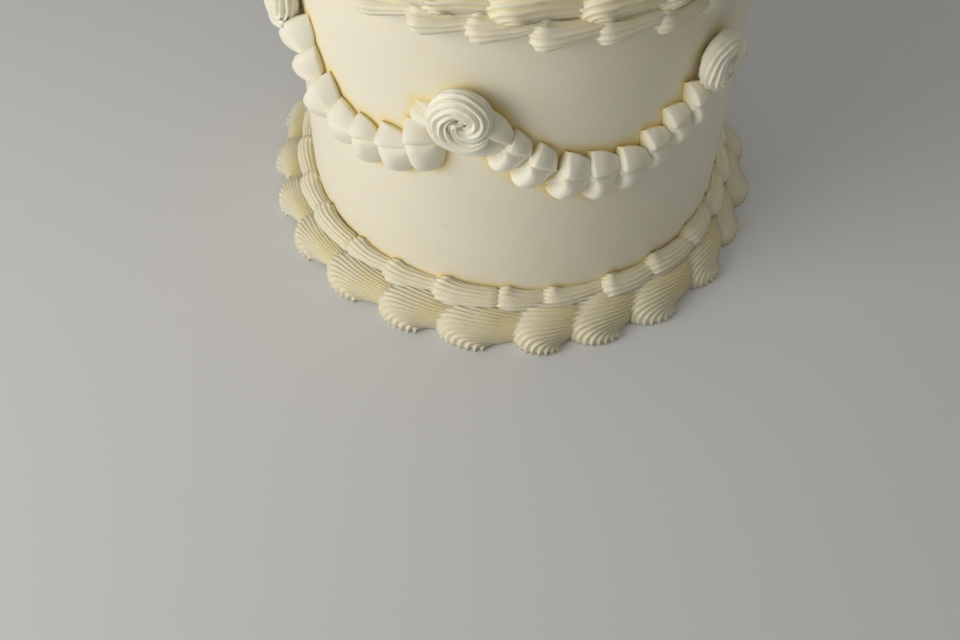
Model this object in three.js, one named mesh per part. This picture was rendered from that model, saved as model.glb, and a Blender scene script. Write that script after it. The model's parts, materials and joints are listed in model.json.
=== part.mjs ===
// A round celebration cake, 160 mm across, covered in smooth ivory buttercream.
// Ribbed shells are piped round its foot and its rim, and a finer border runs beside each.
// Smooth scalloped swags hang between piped rosettes, two in front and two at the back.
//
// The origin is the centre of the underside and +Z is up. Azimuths are in degrees, seen
// from above: 0 is towards -Y, through the first rosette, and 90 is towards +X. Every
// border was piped towards a growing azimuth. Each stroke starts with a wide head, which
// covers the tail of the stroke before it.

import * as THREE from "three";

// Driving sizes, in millimetres.
const bodyRadius = 80;
const bodyHeight = 134;
const topEdgeRound = 2.6;
const footEdgeRound = 0.8;
const bodySegments = 60;
const clearance = 0.35;
const wall = bodyRadius + clearance;

// Large shells round the foot. The ones in front were spaced by eye, so they are uneven.
const footShells = {
  count: 23,
  headAzimuths: [-68, -52.5, -37, -20.5, -5.5, 11.5, 23.5, 38.5, 55, 70.5, 86],
  footRadius: 88,
  bulgeRadius: 9.6,
  bulgeHeight: 6.4,
  tailSize: 0.76,
  ridges: 6,
  firstAngle: 0,
  lastAngle: 102,
};

// Large shells on the rim of the top.
const rimShells = {
  count: 22,
  headAzimuths: [-27, -10, 4, 21.5, 36, 52],
  footRadius: 79.6,
  bulgeRadius: 8.6,
  bulgeHeight: 6.1,
  tailSize: 0.68,
  ridges: 7,
  firstAngle: 0,
  lastAngle: 180,
};

// Along a stroke, where its sections lie and how full they are, from head to tail.
const shellRows = [
  [0, 0.4],
  [0.24, 1],
  [0.62, 0.55],
  [1, 0],
];
const ridgeDepth = 0.1;
const sizeSpread = 0.05;

// Where the small lower border lies on the large shells: a cone that rises outwards.
const seatHeight = 8;
const seatSlope = 0.5;

// The small border beside each row of large shells.
const lowerBorder = {
  count: 26,
  firstAzimuth: 7,
  centreHeight: 13.4,
  headRadius: 4.9,
  tailRadius: 3.1,
  firstAngle: -48,
  lastAngle: 118,
};
const upperBorder = {
  count: 30,
  firstAzimuth: 1.7,
  centreHeight: 129,
  headRadius: 4,
  tailRadius: 2.6,
  firstAngle: -112,
  lastAngle: 112,
};
const smallRidgeDepth = 0.09;
const strokeRows = [
  [0.03, 0.86],
  [0.3, 1],
  [0.98, 0],
];

// Rosettes, and the swags. Each swag hangs from the rosette named here to the next one.
const rosetteAzimuths = [0, 59.5, 121, 180, 240, 304];
const rosetteHeights = [97.5, 103, 99, 100, 98, 103];
const swagStarts = [5, 0, 2, 3];
const rosetteRadius = 10.8;
const rosetteDepth = 10.6;
const rosetteTurns = 2.2;
const rosetteGroove = 0.9;
const swagLow = 68.5;
const swagPetals = 9;
const swagHalfWidth = 8.4;
const swagDepth = 7.8;
const swagMargin = 0.07;
const petalTailWidth = 0.5;
const petalTailDepth = 0.35;
const petalRows = [
  [0.02, 0.95],
  [0.42, 0.9],
  [0.97, 0.3],
];

const creamColour = 0xeee8d0;
const pipedColour = 0xf0ead4;

function radians(degrees) {
  return (degrees * Math.PI) / 180;
}

function mix(from, to, share) {
  return from + (to - from) * share;
}

// A point on a cylinder round the cake's axis.
function around(azimuth, radius, height) {
  const angle = radians(azimuth);
  return new THREE.Vector3(radius * Math.sin(angle), -radius * Math.cos(angle), height);
}

// Repeatable random numbers from 0 to 1.
function seededRandom(seed) {
  let state = seed;
  return () => {
    state = (state + 0x6d2b79f5) | 0;
    let value = Math.imul(state ^ (state >>> 15), 1 | state);
    value = (value + Math.imul(value ^ (value >>> 7), 61 | value)) ^ value;
    return ((value ^ (value >>> 14)) >>> 0) / 4294967296;
  };
}

// Volume inside a closed set of triangles, which is negative when they face inwards.
function signedVolume(points, triangles) {
  let volume = 0;
  for (const [a, b, c] of triangles) {
    volume += points[a].dot(new THREE.Vector3().crossVectors(points[b], points[c])) / 6;
  }
  return volume;
}

function closedGeometry(points, triangles) {
  const inward = signedVolume(points, triangles) < 0;
  const order = triangles.map(([a, b, c]) => (inward ? [a, c, b] : [a, b, c]));
  const geometry = new THREE.BufferGeometry();
  const positions = points.flatMap((point) => [point.x, point.y, point.z]);
  geometry.setAttribute("position", new THREE.Float32BufferAttribute(positions, 3));
  geometry.setIndex(order.flat());
  geometry.computeVertexNormals();
  return geometry;
}

// Joins closed sections, all with the same number of points, into one skin. The skin
// runs on from the last section to the first in a ring, and otherwise has two flat ends.
function skin(sections, isRing) {
  const size = sections[0].length;
  const points = sections.flat();
  const triangles = [];
  const spans = isRing ? sections.length : sections.length - 1;
  for (let row = 0; row < spans; row += 1) {
    const here = row * size;
    const next = ((row + 1) % sections.length) * size;
    for (let column = 0; column < size; column += 1) {
      const beside = (column + 1) % size;
      triangles.push([here + column, here + beside, next + beside]);
      triangles.push([here + column, next + beside, next + column]);
    }
  }
  if (!isRing) {
    const last = (sections.length - 1) * size;
    for (let column = 1; column < size - 1; column += 1) {
      triangles.push([0, column + 1, column]);
      triangles.push([last, last + column, last + column + 1]);
    }
  }
  return closedGeometry(points, triangles);
}

function creamMesh(name, geometry, colour) {
  const material = new THREE.MeshStandardMaterial({ color: colour, roughness: 0.55, metalness: 0 });
  const mesh = new THREE.Mesh(geometry, material);
  mesh.name = name;
  return mesh;
}

// The covered cake itself: an upright drum with a softened top edge.
function bodyGeometry() {
  const profile = [new THREE.Vector2(0, 0)];
  profile.push(new THREE.Vector2(bodyRadius - footEdgeRound, 0));
  profile.push(new THREE.Vector2(bodyRadius, footEdgeRound));
  const edgeSteps = 3;
  for (let step = 0; step <= edgeSteps; step += 1) {
    const turn = radians((90 * step) / edgeSteps);
    const inset = topEdgeRound * (1 - Math.cos(turn));
    const drop = topEdgeRound * (1 - Math.sin(turn));
    profile.push(new THREE.Vector2(bodyRadius - inset, bodyHeight - drop));
  }
  profile.push(new THREE.Vector2(0, bodyHeight));
  const geometry = new THREE.LatheGeometry(profile, bodySegments);
  geometry.rotateX(Math.PI / 2);
  return geometry;
}

// Distance from a shell's foot to its skin at an angle above the ground. The section is
// a circle whose centre lies above the foot and whose underside is flattened.
function shellReach(angle, size, shell) {
  const radius = shell.bulgeRadius * size;
  const lift = shell.bulgeHeight * size;
  const turn = radians(angle);
  const sideways = lift * Math.cos(turn);
  return lift * Math.sin(turn) + Math.sqrt(radius * radius - sideways * sideways);
}

// The fluted arc of a large shell's section, as distance from the axis and height.
function shellArc(size, shell) {
  const steps = shell.ridges * 2;
  const arc = [];
  for (let step = 0; step <= steps; step += 1) {
    const angle = mix(shell.firstAngle, shell.lastAngle, step / steps);
    const groove = step % 2 === 0 ? 1 - ridgeDepth : 1;
    const reach = shellReach(angle, size, shell) * groove;
    arc.push([reach * Math.cos(radians(angle)), reach * Math.sin(radians(angle))]);
  }
  return arc;
}

// Heights of the slanted seat between the large foot shells and the border above them.
function seat(radius) {
  return seatHeight + seatSlope * (radius - bodyRadius);
}

// A shell at the foot stands on the ground and leans on the side of the cake.
function footShellSection(azimuth, size, shell) {
  const footRadius = mix(wall, shell.footRadius, size);
  const section = [around(azimuth, wall, 0)];
  for (const [outward, height] of shellArc(size, shell)) {
    const radius = footRadius + outward;
    section.push(around(azimuth, radius, Math.min(height, seat(radius) - clearance / 2)));
  }
  section.push(around(azimuth, wall, seatHeight - clearance));
  return section;
}

// A shell on the rim lies flat on the top and overhangs the side a little.
function rimShellSection(azimuth, size, shell) {
  const base = bodyHeight + clearance;
  return shellArc(size, shell).map(([outward, height]) =>
    around(azimuth, shell.footRadius + outward, base + height)
  );
}

// Azimuths of the heads of a whole row: those set by hand, then evenly on round the back.
function headAzimuths(shell, random) {
  const placed = shell.headAzimuths;
  const remaining = shell.count - placed.length;
  const last = placed[placed.length - 1];
  const step = (placed[0] + 360 - last) / (remaining + 1);
  const heads = [...placed];
  for (let index = 1; index <= remaining; index += 1) {
    heads.push(last + step * (index + mix(-0.12, 0.12, random())));
  }
  heads.push(placed[0] + 360);
  return heads;
}

// One row of large shells, each a solid of its own that ends just short of the next head.
function shellRow(prefix, shell, section, seed) {
  const random = seededRandom(seed);
  const heads = headAzimuths(shell, random);
  const shells = [];
  for (let index = 0; index < shell.count; index += 1) {
    const halfGap = ((clearance / 2 / shell.footRadius) * 180) / Math.PI;
    const start = heads[index] + halfGap;
    const end = heads[index + 1] - halfGap;
    const scale = mix(1 - sizeSpread, 1, random());
    const sections = shellRows.map(([along, fullness]) => {
      const size = mix(shell.tailSize, 1, fullness) * scale;
      return section(mix(start, end, along), size, shell);
    });
    const name = `${prefix}_${String(index + 1).padStart(2, "0")}`;
    shells.push(creamMesh(name, skin(sections, false), pipedColour));
  }
  return shells;
}

// A section of a small border: a fluted round pressed flat against the side of the cake.
function smallSection(azimuth, radius, border, floorAt) {
  const steps = 7;
  const centreRadius = wall + radius * 0.8;
  const flat = radius * 0.55;
  const section = [];
  for (let step = 0; step <= steps; step += 1) {
    const angle = radians(mix(border.firstAngle, border.lastAngle, step / steps));
    const reach = radius * (step % 2 === 0 ? 1 : 1 - smallRidgeDepth);
    const across = Math.max(centreRadius + reach * Math.cos(angle), wall + 0.1);
    const height = border.centreHeight + reach * Math.sin(angle);
    section.push(around(azimuth, across, Math.max(height, floorAt(across))));
  }
  section.push(around(azimuth, wall, border.centreHeight + flat));
  section.push(around(azimuth, wall, Math.max(border.centreHeight - flat, floorAt(wall))));
  return section;
}

// A whole small border is one ring, because its strokes run into each other.
function smallBorder(name, border, floorAt) {
  const random = seededRandom(border.count);
  const step = 360 / border.count;
  const sections = [];
  for (let index = 0; index < border.count; index += 1) {
    const start = border.firstAzimuth + step * (index + mix(-0.06, 0.06, random()));
    for (const [along, size] of strokeRows) {
      const radius = mix(border.tailRadius, border.headRadius, size);
      sections.push(smallSection(start + step * along, radius, border, floorAt));
    }
  }
  return creamMesh(name, skin(sections, true), pipedColour);
}

// One rosette: a mound whose face is a spiral, wound outwards from its middle.
function rosette(index) {
  const azimuth = rosetteAzimuths[index];
  const height = rosetteHeights[index];
  const rings = 7;
  const sectors = 18;
  const points = [];
  const place = (across, up, proud) => {
    const turn = ((across / bodyRadius) * 180) / Math.PI;
    return around(azimuth + turn, wall + proud, height + up);
  };
  points.push(place(0, 0, rosetteDepth * 0.88));
  for (let ring = 1; ring <= rings; ring += 1) {
    const share = ring / rings;
    for (let sector = 0; sector < sectors; sector += 1) {
      const turn = (2 * Math.PI * sector) / sectors;
      const spiral = Math.cos(2 * Math.PI * rosetteTurns * share - turn);
      const dome = rosetteDepth * Math.sqrt(1 - Math.pow(share * 0.94, 4));
      const proud = ring === rings ? rosetteDepth * 0.3 : dome + rosetteGroove * spiral;
      const reach = rosetteRadius * share;
      points.push(place(reach * Math.cos(turn), reach * Math.sin(turn), proud));
    }
  }
  for (let sector = 0; sector < sectors; sector += 1) {
    const turn = (2 * Math.PI * sector) / sectors;
    const reach = rosetteRadius * 0.93;
    points.push(place(reach * Math.cos(turn), reach * Math.sin(turn), 0.1));
  }
  points.push(place(0, 0, 0.1));
  const triangles = [];
  const back = points.length - 1;
  for (let sector = 0; sector < sectors; sector += 1) {
    const beside = (sector + 1) % sectors;
    triangles.push([0, 1 + sector, 1 + beside]);
    for (let ring = 0; ring < rings; ring += 1) {
      const inner = 1 + ring * sectors;
      const outer = inner + sectors;
      triangles.push([inner + sector, outer + sector, outer + beside]);
      triangles.push([inner + sector, outer + beside, inner + beside]);
    }
    const rim = 1 + rings * sectors;
    triangles.push([rim + sector, back, rim + beside]);
  }
  return creamMesh(`rosette_${index + 1}`, closedGeometry(points, triangles), pipedColour);
}

// Height of a swag's middle line, from 0 at one rosette to 1 at the next.
function swagHeight(share, startHeight, endHeight) {
  const fromMiddle = 2 * share - 1;
  const endsHeight = mix(startHeight, endHeight, share) - 3;
  return mix(swagLow, endsHeight, fromMiddle * fromMiddle);
}

// A swag's section across its run: two smooth lobes that meet in a seam.
function swagSection(azimuth, height, slope, size) {
  const shape = [
    [-1, 0],
    [-0.86, 0.62],
    [-0.45, 1],
    [0, 0.72],
    [0.45, 1],
    [0.86, 0.62],
    [1, 0],
  ];
  const lean = Math.atan(slope);
  return shape.map(([across, proud]) => {
    const offset = across * swagHalfWidth * mix(petalTailWidth, 1, size);
    const sideways = ((-offset * Math.sin(lean)) / bodyRadius) * (180 / Math.PI);
    const depth = 0.1 + proud * swagDepth * mix(petalTailDepth, 1, size);
    return around(azimuth + sideways, wall + depth, height + offset * Math.cos(lean));
  });
}

// One swag: overlapping petals from beside one rosette to beside the next.
function swag(number, index) {
  const following = (index + 1) % rosetteAzimuths.length;
  const start = rosetteAzimuths[index];
  const end = rosetteAzimuths[following] + (following === 0 ? 360 : 0);
  const startHeight = rosetteHeights[index];
  const endHeight = rosetteHeights[following];
  const sections = [];
  for (let petal = 0; petal < swagPetals; petal += 1) {
    for (const [along, size] of petalRows) {
      const share = mix(swagMargin, 1 - swagMargin, (petal + along) / swagPetals);
      const step = 0.01;
      const rise =
        swagHeight(share + step, startHeight, endHeight) -
        swagHeight(share - step, startHeight, endHeight);
      const run = radians(2 * step * (end - start)) * bodyRadius;
      const height = swagHeight(share, startHeight, endHeight);
      sections.push(swagSection(mix(start, end, share), height, rise / run, size));
    }
  }
  return creamMesh(`swag_${number}`, skin(sections, false), pipedColour);
}

const cake = new THREE.Group();
cake.add(creamMesh("body", bodyGeometry(), creamColour));
cake.add(...shellRow("foot_shell", footShells, footShellSection, 11));
cake.add(...shellRow("rim_shell", rimShells, rimShellSection, 12));
cake.add(smallBorder("lower_small_border", lowerBorder, (radius) => seat(radius) + clearance / 2));
cake.add(smallBorder("upper_small_border", upperBorder, () => 0));
for (let index = 0; index < rosetteAzimuths.length; index += 1) {
  cake.add(rosette(index));
}
swagStarts.forEach((start, index) => cake.add(swag(index + 1, start)));

export default cake;
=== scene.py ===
# %% [markdown]
# A tall round cake in ivory buttercream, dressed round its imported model. The packed
# model gives the size of the cake and the places of its shells, swags and rosettes.
# This script adds what a piping bag and a spatula leave behind: fine ridges, curled
# heads, pointed tails, small pits and a soft shine.

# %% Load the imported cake
import json
import math
import random

import bmesh
import bpy
from mathutils import Matrix, Vector

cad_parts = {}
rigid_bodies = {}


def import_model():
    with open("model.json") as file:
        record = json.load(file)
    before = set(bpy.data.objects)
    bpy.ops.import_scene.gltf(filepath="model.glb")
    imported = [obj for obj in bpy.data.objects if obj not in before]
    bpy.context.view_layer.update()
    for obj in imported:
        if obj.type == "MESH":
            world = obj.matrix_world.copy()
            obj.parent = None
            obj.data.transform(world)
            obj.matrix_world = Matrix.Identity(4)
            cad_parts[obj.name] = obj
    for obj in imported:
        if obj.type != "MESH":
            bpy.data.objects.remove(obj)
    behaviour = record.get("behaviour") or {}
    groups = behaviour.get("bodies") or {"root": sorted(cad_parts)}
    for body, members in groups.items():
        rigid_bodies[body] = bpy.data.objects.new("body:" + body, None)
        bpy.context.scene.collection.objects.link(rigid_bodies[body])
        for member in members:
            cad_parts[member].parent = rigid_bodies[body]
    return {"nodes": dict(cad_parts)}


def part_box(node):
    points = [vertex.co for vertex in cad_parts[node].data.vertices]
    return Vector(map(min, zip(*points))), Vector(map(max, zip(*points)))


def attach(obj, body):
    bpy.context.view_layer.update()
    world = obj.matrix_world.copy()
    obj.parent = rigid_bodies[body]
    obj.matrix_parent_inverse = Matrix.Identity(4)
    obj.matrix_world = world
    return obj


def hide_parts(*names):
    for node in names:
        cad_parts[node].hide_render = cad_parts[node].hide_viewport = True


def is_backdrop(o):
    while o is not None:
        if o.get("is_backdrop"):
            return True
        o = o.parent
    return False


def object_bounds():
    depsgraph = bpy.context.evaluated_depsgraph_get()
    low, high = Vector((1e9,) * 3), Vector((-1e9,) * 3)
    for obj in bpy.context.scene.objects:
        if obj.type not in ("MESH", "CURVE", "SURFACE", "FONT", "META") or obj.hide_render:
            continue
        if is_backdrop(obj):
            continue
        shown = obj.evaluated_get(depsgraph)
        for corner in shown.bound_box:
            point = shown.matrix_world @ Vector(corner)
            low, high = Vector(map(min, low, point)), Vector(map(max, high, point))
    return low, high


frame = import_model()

cad_low, cad_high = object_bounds()
print("packed size in metres:", [round(side, 3) for side in cad_high - cad_low])

# %% [markdown]
# The cake was piped in millimetres, so the node trees below work in millimetres too and
# shrink their result at the very end. Blender itself works in metres.

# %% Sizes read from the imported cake
MM = 0.001
body_low, body_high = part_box("body")
CAKE_RADIUS = (body_high.x - body_low.x) / 2 / MM
CAKE_HEIGHT = (body_high.z - body_low.z) / MM


def node_points(name):
    """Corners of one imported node, in millimetres."""
    return [Vector(vertex.co) / MM for vertex in bpy.data.objects[name].data.vertices]


def azimuth_of(point):
    """Angle round the cake in degrees, 0 towards the front and growing anticlockwise."""
    return math.degrees(math.atan2(point.x, -point.y))


def node_span(name):
    """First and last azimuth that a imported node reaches."""
    points = node_points(name)
    middle = azimuth_of(sum(points, Vector()) / len(points))
    turns = [(azimuth_of(point) - middle + 180) % 360 - 180 for point in points]
    return middle + min(turns), middle + max(turns)


def nodes_named(prefix):
    """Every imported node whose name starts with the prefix, in order."""
    return sorted(name for name in frame["nodes"] if name.startswith(prefix))


print("cake radius and height:", round(CAKE_RADIUS, 1), round(CAKE_HEIGHT, 1))

# %% [markdown]
# Both kinds of tree in this script, for shapes and for finishes, are mostly arithmetic.
# Wrapping a socket in a small class lets that arithmetic be written as plain Python:
# each operator adds the Math node that does it. One method adds any other node.


# %% Arithmetic on sockets
class Value:
    """One output socket, with operators that add Math nodes to its tree."""

    def __init__(self, net, socket):
        self.net = net
        self.socket = socket

    def math(self, operation, *others):
        sockets = dict(enumerate((self, *others)))
        return self.net.add("ShaderNodeMath", {"operation": operation}, sockets)

    def __add__(self, other):
        return self.math("ADD", other)

    def __radd__(self, other):
        return self.math("ADD", other)

    def __sub__(self, other):
        return self.math("SUBTRACT", other)

    def __rsub__(self, other):
        return self.net.add("ShaderNodeMath", {"operation": "SUBTRACT"}, {0: other, 1: self})

    def __mul__(self, other):
        return self.math("MULTIPLY", other)

    def __rmul__(self, other):
        return self.math("MULTIPLY", other)

    def __truediv__(self, other):
        return self.math("DIVIDE", other)

    def __pow__(self, other):
        return self.math("POWER", other)

    def sin(self):
        return self.math("SINE")

    def cos(self):
        return self.math("COSINE")

    def abs(self):
        return self.math("ABSOLUTE")

    def sqrt(self):
        return self.math("SQRT")

    def at_least(self, other):
        return self.math("MAXIMUM", other)

    def at_most(self, other):
        return self.math("MINIMUM", other)

    def above(self, other):
        return self.math("GREATER_THAN", other)

    def clamped(self):
        return self.at_least(0.0).at_most(1.0)


class Net:
    """A node tree that nodes are added to."""

    def __init__(self, tree):
        self.tree = tree

    def add(self, kind, settings=None, sockets=None, out=0):
        """Adds a node, sets it up, fills its sockets and gives one output back."""
        node = self.tree.nodes.new(kind)
        for name, value in (settings or {}).items():
            setattr(node, name, value)
        for key, value in (sockets or {}).items():
            socket = node.inputs[key]
            if isinstance(value, Value):
                self.tree.links.new(value.socket, socket)
            else:
                socket.default_value = value
        return Value(self, node.outputs[out])

    def vector(self, x, y, z):
        return self.add("ShaderNodeCombineXYZ", None, {0: x, 1: y, 2: z})

    def vector_math(self, operation, *vectors, out=0):
        sockets = dict(enumerate(vectors))
        return self.add("ShaderNodeVectorMath", {"operation": operation}, sockets, out)

    def scaled(self, vector, factor):
        settings = {"operation": "SCALE"}
        return self.add("ShaderNodeVectorMath", settings, {0: vector, "Scale": factor})

    def parts(self, vector):
        first = self.add("ShaderNodeSeparateXYZ", None, {0: vector})
        outputs = first.socket.node.outputs
        return [Value(self, outputs[index]) for index in range(3)]


# %% [markdown]
# A shape tree starts from a flat grid: one side runs along the stroke, the other round
# it. The tree bends the grid into a stroke of cream, copies it to every point of a
# straight run, and wraps the whole run round the cake. A run is easier to think about
# straight, and wrapping it last makes every stroke follow the round side by itself.


# %% Start and finish of a shape tree
def new_shape_tree(name, sizes):
    """A Geometry Nodes tree with one named input for each size."""
    tree = bpy.data.node_groups.new(name, "GeometryNodeTree")
    tree.interface.new_socket("Geometry", in_out="INPUT", socket_type="NodeSocketGeometry")
    tree.interface.new_socket("Geometry", in_out="OUTPUT", socket_type="NodeSocketGeometry")
    for label, value in sizes.items():
        kind = "NodeSocketInt" if isinstance(value, int) else "NodeSocketFloat"
        socket = tree.interface.new_socket(label, in_out="INPUT", socket_type=kind)
        socket.default_value = value
    net = Net(tree)
    group_in = tree.nodes.new("NodeGroupInput")
    inputs = {socket.name: Value(net, socket) for socket in group_in.outputs if socket.name}
    return net, inputs


def rolled_grid(net, rows, columns):
    """A grid with its two running shares: along the stroke, and round it.

    Both are read from the flat grid, so whatever needs them is stored before it bends."""
    sockets = {"Size X": 1.0, "Size Y": 1.0, "Vertices X": rows, "Vertices Y": columns}
    grid = net.add("GeometryNodeMeshGrid", None, sockets)
    place = net.add("GeometryNodeInputPosition")
    x, y, _ = net.parts(place)
    return grid, x + 0.5, y + 0.5


def moved(net, geometry, position):
    """Puts every point of a shape at its new position."""
    return net.add("GeometryNodeSetPosition", None, {"Geometry": geometry, "Position": position})


def with_attribute(net, geometry, name, value):
    """Stores one number on every point, for the finishes to read."""
    settings = {"data_type": "FLOAT", "domain": "POINT"}
    sockets = {"Geometry": geometry, "Name": name, "Value": value}
    return net.add("GeometryNodeStoreNamedAttribute", settings, sockets)


def merged(net, geometry, distance):
    """Welds points that meet, which closes the seam and the two ends of a rolled grid."""
    return net.add("GeometryNodeMergeByDistance", None, {"Geometry": geometry, "Distance": distance})


def named_vector(net, name):
    """Reads a vector that the points of a run carry."""
    return net.add("GeometryNodeInputNamedAttribute", {"data_type": "FLOAT_VECTOR"}, {"Name": name})


def copied_to_points(net, points, stroke):
    """Copies the stroke to each point, with the point's own turn and size."""
    turn = net.add("FunctionNodeEulerToRotation", None, {0: named_vector(net, "turn")})
    sockets = {
        "Points": points,
        "Instance": stroke,
        "Rotation": turn,
        "Scale": named_vector(net, "swell"),
    }
    copies = net.add("GeometryNodeInstanceOnPoints", None, sockets)
    return net.add("GeometryNodeRealizeInstances", None, {"Geometry": copies})


def wobbled(net, geometry, grain, strength, seed):
    """Pushes points about with smooth noise, so that no two strokes are alike."""
    place = net.add("GeometryNodeInputPosition")
    sockets = {"Vector": place, "W": seed, "Scale": 1.0 / grain, "Detail": 1.0}
    noise = net.add("ShaderNodeTexNoise", {"noise_dimensions": "4D"}, sockets, out=1)
    centred = net.vector_math("SUBTRACT", noise, (0.5, 0.5, 0.5))
    sockets = {"Geometry": geometry, "Offset": net.scaled(centred, 2.0 * strength)}
    return net.add("GeometryNodeSetPosition", None, sockets)


def wrapped_round_cake(net, geometry):
    """Rolls a straight run, laid along X on the cake's side, round the cake."""
    x, y, z = net.parts(net.add("GeometryNodeInputPosition"))
    angle = x / CAKE_RADIUS
    reach = y + CAKE_RADIUS
    return moved(net, geometry, net.vector(reach * angle.sin(), reach * angle.cos() * -1.0, z))


def finish_shape_tree(net, geometry, material):
    """Shrinks the millimetres to metres, smooths, and sets the finish."""
    sockets = {"Geometry": geometry, "Scale": (MM, MM, MM)}
    small = net.add("GeometryNodeTransform", None, sockets)
    smooth = net.add("GeometryNodeSetShadeSmooth", None, {"Geometry": small})
    sockets = {"Geometry": smooth, "Material": material}
    done = net.add("GeometryNodeSetMaterial", None, sockets)
    output = net.tree.nodes.new("NodeGroupOutput")
    net.tree.links.new(done.socket, output.inputs[0])
    return net.tree


def inside_out(mesh):
    """Whether the faces of a closed mesh look inwards, told by the sign of its volume."""
    shape = bmesh.new()
    shape.from_mesh(mesh)
    volume = shape.calc_volume(signed=True)
    shape.free()
    print(mesh.name, "volume in cubic centimetres:", round(volume * 1e6, 1))
    return volume < 0


def piece_from_tree(name, tree, start_mesh, sizes):
    """Runs a tree on a start mesh and keeps the result as one plain mesh."""
    carrier = bpy.data.objects.new(name + "_run", start_mesh)
    bpy.context.scene.collection.objects.link(carrier)
    modifier = carrier.modifiers.new("shape", "NODES")
    modifier.node_group = tree
    labels = {item.name: item.identifier for item in tree.interface.items_tree}
    for label, value in sizes.items():
        modifier[labels[label]] = value
    graph = bpy.context.evaluated_depsgraph_get()
    mesh = bpy.data.meshes.new_from_object(carrier.evaluated_get(graph))
    carrier.modifiers.clear()
    bpy.data.objects.remove(carrier)
    mesh.name = name
    if inside_out(mesh):
        mesh.flip_normals()
    piece = bpy.data.objects.new(name, mesh)
    bpy.context.scene.collection.objects.link(piece)
    print(name, "triangles:", sum(len(face.vertices) - 2 for face in mesh.polygons))
    return piece


def run_of_points(name, strokes):
    """A mesh of loose points, one for each stroke, that carry its turn and size."""
    mesh = bpy.data.meshes.new(name)
    mesh.from_pydata([stroke["place"] for stroke in strokes], [], [])
    for label in ("turn", "swell"):
        layer = mesh.attributes.new(label, "FLOAT_VECTOR", "POINT")
        for index, stroke in enumerate(strokes):
            layer.data[index].vector = stroke[label]
    return mesh


# %% [markdown]
# Buttercream is fat beaten with sugar: pale, satin and a little see-through. Light that
# enters a ridge comes out again warmer, so narrow crevices glow a golden straw colour
# instead of going grey. Subsurface scattering gives part of this. The rest is painted shade:
# a warm golden colour painted into the base colour in grooves, against the wall, under strokes and
# beside joints, which the shape trees store on every point.


# %% Cream finishes
def air_holes(net, place):
    """1 in the middle of the few air holes that the spatula opened, 0 elsewhere."""
    sockets = {"Vector": place, "Scale": 60.0}
    distance = net.add("ShaderNodeTexVoronoi", None, sockets, "Distance")
    return (1.0 - distance / 0.07).clamped()


def cream_finish(name, light, crevice_shade, painted_shade_strength, roughness, bump_depth, holes=0.0):
    """A piped cream: pale crests, painted golden shade in grooves, holes and joints, faint mottling
    and fine grain.
    """
    material = bpy.data.materials.new(name)
    material.use_nodes = True
    net = Net(material.node_tree)
    shader = material.node_tree.nodes["Principled BSDF"]
    place = net.add("ShaderNodeTexCoord", out="Object")
    groove = net.add("ShaderNodeAttribute", {"attribute_name": "groove"}, out="Fac")
    mottle = net.add("ShaderNodeTexNoise", None, {"Vector": place, "Scale": 60.0, "Detail": 2.0})
    grain = net.add("ShaderNodeTexNoise", None, {"Vector": place, "Scale": 900.0, "Detail": 3.0})
    hole = air_holes(net, place) * holes
    # How far the base colour goes from pale cream to the painted warm shade: painted shade in
    # grooves and air holes, plus real random mottling.
    depth = (groove * painted_shade_strength + (mottle - 0.5) * 0.18 + hole * 0.5).clamped()
    settings = {"data_type": "RGBA"}
    sockets = {0: depth, 6: (*light, 1.0), 7: (*crevice_shade, 1.0)}
    colour = net.add("ShaderNodeMix", settings, sockets, out=2)
    net.tree.links.new(colour.socket, shader.inputs["Base Color"])
    shine = roughness + (grain - 0.5) * 0.16
    net.tree.links.new(shine.socket, shader.inputs["Roughness"])
    relief = grain + mottle * 0.6 - hole * 12.0
    sockets = {"Height": relief, "Strength": 0.35, "Distance": bump_depth}
    bump = net.add("ShaderNodeBump", None, sockets)
    net.tree.links.new(bump.socket, shader.inputs["Normal"])
    shader.inputs["IOR"].default_value = 1.46
    shader.inputs["Subsurface Weight"].default_value = 0.25
    shader.inputs["Subsurface Radius"].default_value = (1.0, 0.72, 0.38)
    shader.inputs["Subsurface Scale"].default_value = 0.002
    return material


# Colours of the painted warm shade in grooves and joints, where light scattered in the cream comes
# out golden.
straw_shade = (0.86, 0.74, 0.40)
honey_shade = (0.93, 0.735, 0.28)
foot_cream = cream_finish("foot_shell_cream", (0.83, 0.79, 0.615), straw_shade, 0.45, 0.5, 0.00015)
rim_cream = cream_finish("rim_shell_cream", (0.94, 0.90, 0.72), honey_shade, 0.55, 0.5, 0.00015)
small_cream = cream_finish("small_border_cream", (0.90, 0.86, 0.71), straw_shade, 0.5, 0.5, 0.00015)
swag_cream = cream_finish("swag_cream", (0.93, 0.90, 0.76), honey_shade, 0.6, 0.45, 0.0001, 0.6)
rosette_cream = cream_finish("rosette_cream", (0.98, 0.95, 0.80), straw_shade, 0.2, 0.48, 0.0001, 0.6)
smooth_cream = cream_finish("smooth_cream", (0.895, 0.85, 0.685), honey_shade, 0.9, 0.5, 0.0001, 1.0)
print("finishes:", [material.name for material in bpy.data.materials])

# %% [markdown]
# A shell is one squeeze of a star tip. The tip starts low, so the cream wells up and
# fans out into a head, and is then drawn along into a tail that the next head covers.
# Each tooth of the tip leaves one rib. The ribs rise from under the head, arch over it
# and close up in the tail. The stroke is a tube swept along a curve with four control
# points. Only the side that shows carries ribs, so the hidden side needs few faces.

# %% Ribbed stroke
# Shares run from 0 to 1, and each shade weight is how much of the painted warm crevice shade shows.
COLUMNS_PER_RIB = 6
HIDDEN_COLUMNS = 8
HEAD_CROWDING = 1.15
HEAD_SHARE = 0.3
START_FULLNESS = 0.86
VALLEY_ROUNDNESS = 0.8
VALLEY_PAINTED_SHADE = 0.6
TAIL_PAINTED_SHADE = 0.3
UNDERSIDE_PAINTED_SHADE = 0.8
UNDERSIDE_REACH = 1.8
BRIM_REACH = 3.0
SLANT = 0.7
WELD = 0.02


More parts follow.
